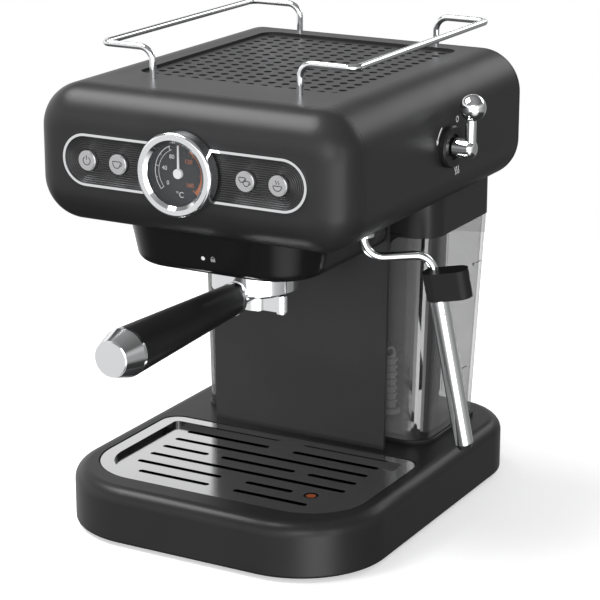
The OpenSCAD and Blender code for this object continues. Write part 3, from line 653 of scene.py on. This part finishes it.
class EspressoGauge(bpy.types.Operator):
    """Finishes the gauge and prints its dial"""

    bl_idname = "espresso.gauge"
    bl_label = "Temperature gauge"
    bl_options = {"REGISTER", "UNDO"}

    def execute(self, context):
        look = finishes()
        coat("gauge_barrel", moulded("barrel_black", (0.01, 0.01, 0.01), 0.35))
        coat("gauge_bezel", plated("bezel_chrome", look.chrome, 0.05))
        coat("gauge_glass", clear("gauge_pane", (0.6, 0.65, 0.7), 0.03, 0.25, 0.01))
        coat("gauge_needle", moulded("needle_paint", (0.62, 0.62, 0.63), 0.35, grain=0.02))
        coat("gauge_dial", moulded("dial_black", (0.012, 0.012, 0.013), 0.5, grain=0.03))
        face = Sheet(at(0, PANEL_FACE_Y, PANEL_Z), X, Z)
        pale = printed("dial_pale", (0.62, 0.62, 0.63))
        amber = printed("dial_amber", look.amber)
        self.scale("dial_cold_scale", face, pale, *COLD_RANGE)
        self.scale("dial_hot_scale", face, amber, *HOT_RANGE)
        for numbers, ink in ((COLD_NUMBERS, pale), (HOT_NUMBERS, amber)):
            for words, angle, radius in numbers:
                spot = face.moved(*polar(radius, angle))
                lettering("dial_" + words, words, NUMBER_HEIGHT, spot, "machine", ink)
        lettering("dial_unit", "°C", UNIT_HEIGHT, face.moved(0, -UNIT_BELOW), "machine", pale)
        return {"FINISHED"}

    def scale(self, name, face, ink, arcs, steps, strokes):
        """Arcs and strokes of one range of the dial."""
        faces = []
        for radius, start, end, width in arcs:
            faces += ribbon(arc(radius, start, end, steps=steps), width)
        for angle, length in strokes:
            ends = [polar(STROKE_OUTER_RADIUS, angle), polar(STROKE_OUTER_RADIUS - length, angle)]
            faces += ribbon(ends, STROKE_WIDTH)
        inlay(name, faces, face, "machine", ink)


CUP_OUTLINE = ((-2.1, 1.2), (1.5, 1.2), (1.45, 0.2), (1.1, -0.7),
               (0.4, -1.4), (-1.0, -1.4), (-1.7, -0.7), (-2.05, 0.2))


class EspressoButtons(bpy.types.Operator):
    """Finishes the buttons and prints their marks"""

    bl_idname = "espresso.buttons"
    bl_label = "Buttons"
    bl_options = {"REGISTER", "UNDO"}

    def execute(self, context):
        ink = printed("button_ink", (0.06, 0.06, 0.063))
        buttons = (("power", -BUTTON_OUTER_X, self.power()),
                   ("single", -BUTTON_INNER_X, self.cup()),
                   ("double", BUTTON_INNER_X, self.cups()),
                   ("steam", BUTTON_OUTER_X, self.steam()))
        for name, x, faces in buttons:
            node = "button_" + name
            centre = at(x, PANEL_FACE_Y, PANEL_Z)
            coat(node, turned(node + "_silver", (0.6, 0.6, 0.61), 0.3, centre, "y"))
            inlay(node + "_mark", faces, Sheet(centre, X, Z), name + "_button", ink)
        return {"FINISHED"}

    def line(self, share=1.0):
        """Width of a line of the marks, in millimetres."""
        return sizes().line / MM * share

    def power(self):
        """A broken ring with an upright stroke in its gap."""
        ring = ribbon(arc(2.6, 122, 418, steps=28), self.line())
        return ring + ribbon([(0, 0.7), (0, 3.4)], self.line())

    def bowl(self, u, v, size):
        """A cup with its ear, round a point."""
        ear = arc(0.75, -95, 80, (1.45, 0.25), 10)
        outline, ear = ([(u + size * a, v + size * b) for a, b in points]
                        for points in (CUP_OUTLINE, ear))
        return ribbon(outline, self.line(), True) + ribbon(ear, self.line(0.85))

    def cup(self):
        return self.bowl(0, 0, 1.55)

    def cups(self):
        return self.bowl(-1.4, 1.05, 1.15) + self.bowl(1.5, -1.05, 1.15)

    def steam(self):
        """A half-round bowl under two waves."""
        faces = ribbon(arc(3.0, 180, 360, (0, -0.1), 16), self.line(), True)
        for u in (-0.95, 0.75):
            wave = [(u + 0.42 * math.sin(i * 0.9), 0.9 + i * 0.34) for i in range(8)]
            faces += ribbon(wave, self.line(0.85))
        return faces


class EspressoGroup(bpy.types.Operator):
    """Finishes the brewing group and the portafilter and prints the lock mark"""

    bl_idname = "espresso.group"
    bl_label = "Brewing group"
    bl_options = {"REGISTER", "UNDO"}

    def execute(self, context):
        look = finishes()
        chrome = plated("portafilter_chrome", look.chrome, 0.07)
        coat_all(("pf_body", "pf_spout", "pf_rings"), chrome)
        coat("pf_cap", plated("cap_chrome", look.chrome, 0.12))
        coat("pf_handle", moulded("handle_black", look.handle, 0.4, grain=0.06, grain_scale=1800))
        axis = at(*GROUP_AXIS)
        coat("pf_basket", turned("basket_steel", look.steel, 0.28, axis, "z"))
        coat("shower_screen", turned("screen_steel", look.steel, 0.3, axis, "z"))
        coat("group_head", turned("group_brass", (0.68, 0.66, 0.62), 0.22, axis, "z"))
        coat("group_gasket", moulded("gasket_rubber", (0.06, 0.018, 0.012), 0.6))
        self.lock_mark()
        return {"FINISHED"}

    def lock_mark(self):
        """A dot and a small padlock beside it."""
        up = Vector((0, -math.sin(HOUSING_RAKE), math.cos(HOUSING_RAKE)))
        wall = Sheet(at(*LOCK_AT), X, up)
        white = printed("mark_white", (0.82, 0.82, 0.82))
        grey = printed("mark_grey", (0.3, 0.3, 0.3))
        dot = [arc(1.35, 0, 345, (-1.5, 0), 23)]
        inlay("lock_dot", dot, wall, "machine", white)
        case = [(4.0, -1.5), (7.2, -1.5), (7.2, 0.5), (4.0, 0.5)]
        shackle = [(4.55, 0.5)] + arc(1.05, 180, 0, (5.6, 0.8), 10) + [(6.65, 0.5)]
        inlay("lock_mark", [case] + ribbon(shackle, 0.42), wall, "machine", grey)


class EspressoTray(bpy.types.Operator):
    """Finishes the drip tray, its grid and its float"""

    bl_idname = "espresso.tray"
    bl_label = "Drip tray"
    bl_options = {"REGISTER", "UNDO"}

    def execute(self, context):
        look = finishes()
        steel = brushed("grid_steel", look.grid, 0.13, 700, 0.015, stretch=(0.03, 1, 1))
        *_, up = steel.axes("Normal")
        # Painted shade: the walls of the grid's step and of its slots are painted near black
        steel.put("Base Color", steel.blend(up < 0.8, look.grid, (0.05, 0.05, 0.05)))
        coat("drip_grid", steel)
        coat("drip_tray", moulded("tray_plastic", (0.012, 0.012, 0.012), 0.4))
        red = moulded("float_red", (0.32, 0.06, 0.015), 0.35)
        x, y, _ = red.axes()
        middle = at(*FLOAT_AT)
        reach = ((x - middle.x) ** 2 + (y - middle.y) ** 2) ** 0.5
        rim = reach > FLOAT_HUB_RADIUS * MM
        red.put("Base Color", red.blend(rim, (0.36, 0.09, 0.03), (0.02, 0.012, 0.01)))
        coat("float", red)
        return {"FINISHED"}


# Level marks of the tank: their place along and up its right wall, in millimetres, and which
# way the arrowhead points
LEVELS = (("upper_level", 158, 150, 1), ("lower_level", 144, 77.5, -1))


class EspressoTank(bpy.types.Operator):
    """Finishes the water tank and prints its levels"""

    bl_idname = "espresso.tank"
    bl_label = "Water tank"
    bl_options = {"REGISTER", "UNDO"}

    def execute(self, context):
        coat("tank", self.smoke(finishes().tank))
        coat("tank_hose", self.ringed_hose())
        ink = printed("level_ink", (0.02, 0.02, 0.02))
        for level in LEVELS:
            self.level(*level, ink)
        return {"FINISHED"}

    def smoke(self, grey):
        """Smoky plastic, a black grip panel on the back, painted shade on edges and front
        corners.
        """
        smoke = clear("tank_smoke", grey, 0.28, 0.95)
        x, y, _ = smoke.axes()
        middle = at(0, TANK_BACK_Y, 0)
        grip = (abs(x - middle.x) < TANK_GRIP_HALF * MM) * (y > middle.y)
        across, along, _ = smoke.axes("Normal")
        # Painted shade: the front corners are made dark and nearly opaque where the plastic turns
        painted_corner_shade = (abs(across * along) * 5 - 0.7).larger(0.0).maths("MINIMUM", 1.0)
        painted_corner_shade = painted_corner_shade * (y < at(0, TANK_MIDDLE_Y, 0).y)
        smoke.put("Alpha", grip.larger(smoke.alpha.larger(painted_corner_shade * 0.85)))
        # The grip panel is black plastic; the rest is painted shade where the plastic is seen
        # edge on and on the front corners
        grip_and_painted_shade = grip.larger((smoke.rim * 0.9).larger(painted_corner_shade))
        smoke.put("Base Color", smoke.blend(grip_and_painted_shade, grey, (0.02, 0.02, 0.02)))
        return smoke

    def ringed_hose(self):
        """Grey rubber with painted shade, near black, on the shoulders of its ribs."""
        hose = moulded("hose_rubber", (0.3, 0.3, 0.3), 0.4)
        *_, up = hose.axes("Normal")
        # Painted shade in the creases between the ribs
        painted_rib_shade = abs(up) > 0.25
        hose.put("Base Color", hose.blend(painted_rib_shade, (0.34, 0.34, 0.34), (0.006, 0.006, 0.006)))
        return hose

    def level(self, name, y, z, tip, ink):
        """A line and an arrowhead on the tank's right wall; tip is 1 where it points down."""
        lean = math.atan(TANK_SPREAD)
        half = TANK_HALF_WIDTH + TANK_SPREAD * (z - TANK_FLOOR_Z)
        wall = Sheet(at(half, y, z), Y, Vector((math.sin(lean), 0, math.cos(lean))))
        faces = ribbon([(-1, 0), (6.5, 0)], 0.55)
        faces.append([(-7.2, 1.1 * tip), (-3.4, 1.1 * tip), (-5.3, -1.5 * tip)])
        inlay(name, faces, wall, "tank", ink)


class EspressoWand(bpy.types.Operator):
    """Finishes the steam wand"""

    bl_idname = "espresso.wand"
    bl_label = "Steam wand"
    bl_options = {"REGISTER", "UNDO"}

    def execute(self, context):
        chrome = plated("wand_chrome", finishes().chrome, 0.09)
        coat_all(("wand_tube", "wand_nut", "froth_sleeve"), chrome)
        rubber = moulded("grip_rubber", (0.012, 0.012, 0.012), 0.5, grain=0.08, grain_scale=1500)
        coat("wand_grip", rubber)
        return {"FINISHED"}


class EspressoKnob(bpy.types.Operator):
    """Finishes the steam knob and prints the marks round it"""

    bl_idname = "espresso.knob"
    bl_label = "Steam knob"
    bl_options = {"REGISTER", "UNDO"}

    def execute(self, context):
        coat("steam_knob", plated("knob_chrome", finishes().chrome, 0.05))
        coat("escutcheon", moulded("escutcheon_black", (0.011, 0.011, 0.011), 0.35))
        side = Sheet(at(SIDE_X, 0, 0), Y, Z)
        white = printed("knob_marks", (0.8, 0.8, 0.8))
        marks = (("closed_mark", self.ring()), ("steam_mark", self.plume()),
                 ("turn_mark", self.arrow()))
        for name, faces in marks:
            inlay(name, faces, side, "machine", white)
        return {"FINISHED"}

    def ring(self):
        """The closed place of the knob."""
        return ribbon(arc(1.7, 0, 345, (73.4, 268.4), 23), 0.8, True)

    def plume(self):
        """Three waves at the steam place of the knob."""
        faces = []
        for u in (71.8, 74.2, 76.6):
            wave = [(u + 0.6 * math.sin(i * 0.8), 232.5 + i * 0.75) for i in range(8)]
            faces += ribbon(wave, 0.6)
        return faces

    def arrow(self):
        """A bent arrow that shows which way the knob turns."""
        radius = 16.3
        head = [polar(radius, 168, KNOB_AT), polar(radius - 1.8, 157, KNOB_AT),
                polar(radius + 1.8, 157, KNOB_AT)]
        return ribbon(arc(radius, 124, 158, KNOB_AT, 12), 1.2) + [head]


class EspressoTop(bpy.types.Operator):
    """Finishes the cup rails and the warming plate"""

    bl_idname = "espresso.top"
    bl_label = "Cup shelf"
    bl_options = {"REGISTER", "UNDO"}

    def execute(self, context):
        look = finishes()
        coat_all(("rail_left", "rail_right"), plated("rail_chrome", look.chrome, 0.06))
        coat("rail_nuts", plated("nut_zinc", (0.6, 0.6, 0.58), 0.2))
        paint = moulded("shelf_paint", shade(look.body, 1.25), 0.4, grain=0.04, grain_scale=3200)
        coat("warmer_plate", paint)
        coat("warmer_pan", moulded("pan_black", (0.006, 0.006, 0.006), 0.6))
        return {"FINISHED"}


# ---------------------------------------------------------------- inside and underneath


class EspressoInside(bpy.types.Operator):
    """Finishes the parts inside the head and the column"""

    bl_idname = "espresso.inside"
    bl_label = "Inner parts"
    bl_options = {"REGISTER", "UNDO"}

    def execute(self, context):
        metal = brushed("cast_metal", (0.55, 0.55, 0.56), 0.45, 500, 0.1)
        coat_all(("boiler", "boiler_cap"), metal)
        coat("steam_valve", turned("valve_brass", (0.72, 0.5, 0.2), 0.25, at(*VALVE_AT), "z"))
        coat("steam_pipes", plated("copper_pipe", (0.72, 0.36, 0.22), 0.2))
        coat("pressure_hose", clear("hose_clear", (0.7, 0.7, 0.66), 0.6, 0.9, 0.3))
        coat_all(("suction_hose", "pump_mounts"), moulded("soft_black", (0.02, 0.02, 0.02), 0.55))
        coat("pump", moulded("pump_body", (0.05, 0.05, 0.06), 0.45))
        board = moulded("board_green", (0.01, 0.08, 0.035), 0.35)
        coat_all(("button_board", "control_board"), board)
        return {"FINISHED"}


class EspressoUnderside(bpy.types.Operator):
    """Finishes the feet, the bottom plate, the screws and the cord's gland"""

    bl_idname = "espresso.underside"
    bl_label = "Underside and screws"
    bl_options = {"REGISTER", "UNDO"}

    def execute(self, context):
        rubber = moulded("foot_rubber", (0.014, 0.014, 0.014), 0.75, grain=0.1, grain_scale=1200)
        coat("feet", rubber)
        coat("bottom_plate", moulded("bottom_plastic", (0.014, 0.014, 0.014), 0.5))
        coat("cord_gland", moulded("gland_black", (0.012, 0.012, 0.012), 0.5))
        zinc = brushed("screw_zinc", (0.5, 0.5, 0.49), 0.35, 900, 0.05)
        coat_all(("base_screws", "rear_screws"), zinc)
        return {"FINISHED"}


# ---------------------------------------------------------------- add-on

STEPS = (EspressoStage, EspressoShells, EspressoPanel, EspressoGauge, EspressoButtons,
         EspressoGroup, EspressoTray, EspressoTank, EspressoWand, EspressoKnob, EspressoTop,
         EspressoInside, EspressoUnderside)
SETTINGS = {
    EspressoFinishes: "espresso_finishes",
    EspressoSizes: "espresso_sizes",
    EspressoStudio: "espresso_studio",
}


class EspressoSidebar(bpy.types.Panel):
    """Lists the machine's steps and settings"""

    bl_idname = "VIEW3D_PT_espresso"
    bl_label = "Espresso machine"
    bl_space_type = "VIEW_3D"
    bl_region_type = "UI"
    bl_category = "Espresso"

    def draw(self, context):
        column = self.layout.column()
        for step in STEPS:
            column.operator(step.bl_idname)
        for settings, place in SETTINGS.items():
            for name in settings.__annotations__:
                column.prop(getattr(context.scene, place), name)


def register():
    for thing in (*SETTINGS, *STEPS, EspressoSidebar):
        bpy.utils.register_class(thing)
    for settings, name in SETTINGS.items():
        setattr(bpy.types.Scene, name, bpy.props.PointerProperty(type=settings))


def unregister():
    for name in SETTINGS.values():
        delattr(bpy.types.Scene, name)
    for thing in reversed((*SETTINGS, *STEPS, EspressoSidebar)):
        bpy.utils.unregister_class(thing)


def main():
    register()
    for step in STEPS:
        group, name = step.bl_idname.split(".")
        getattr(getattr(bpy.ops, group), name)()


if __name__ == "__main__":
    main()
